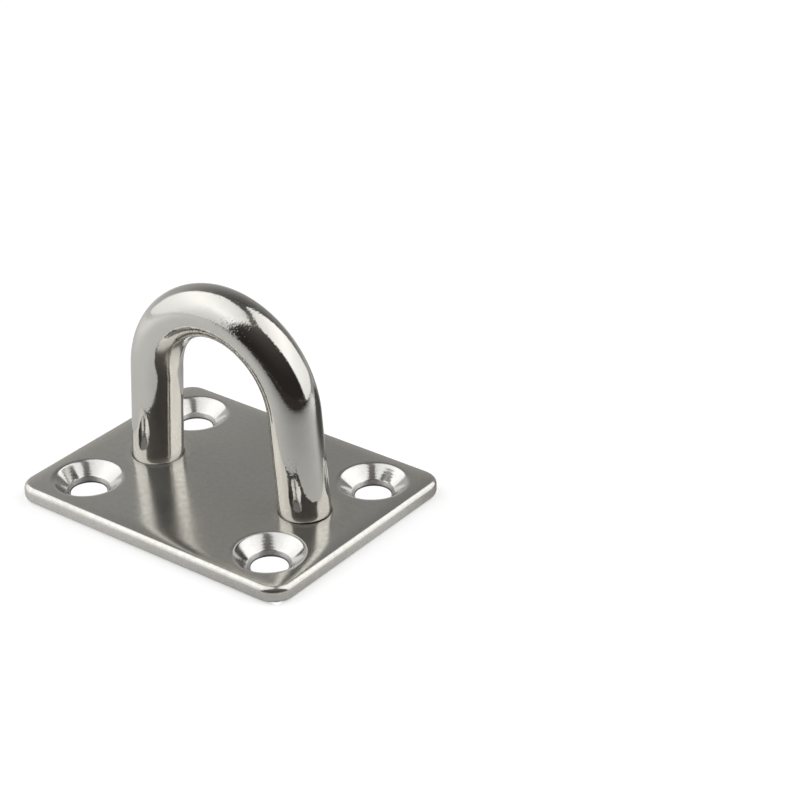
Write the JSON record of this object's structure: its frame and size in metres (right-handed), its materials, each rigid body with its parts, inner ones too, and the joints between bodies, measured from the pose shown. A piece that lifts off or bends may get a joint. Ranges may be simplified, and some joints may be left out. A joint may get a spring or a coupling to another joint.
{
  "type": "hammock hook",
  "caption": "Screw-on hook: a bent round-bar eye welded through a small rectangular plate with countersunk corner holes.",
  "frame": {"origin": "middle of the plate's flat back face, which goes against the beam or wall", "axes": "+X along the plate's long side, +Y along its short side, +Z out of the mounting surface towards the arch"},
  "size_m": [0.039, 0.03, 0.0262],
  "materials": {
    "plate_steel": "tumbled and polished stainless steel at the front, dull grey at the back",
    "polished_bar": "mirror-polished stainless steel with a faint orange peel",
    "weld_metal": "unpolished weld metal, rippled and slightly heat tinted"
  },
  "bodies": {
    "root": {"base_plate": "plate_steel", "rod_loop": "polished_bar", "weld_left": "weld_metal", "weld_right": "weld_metal"}
  },
  "joints": []
}
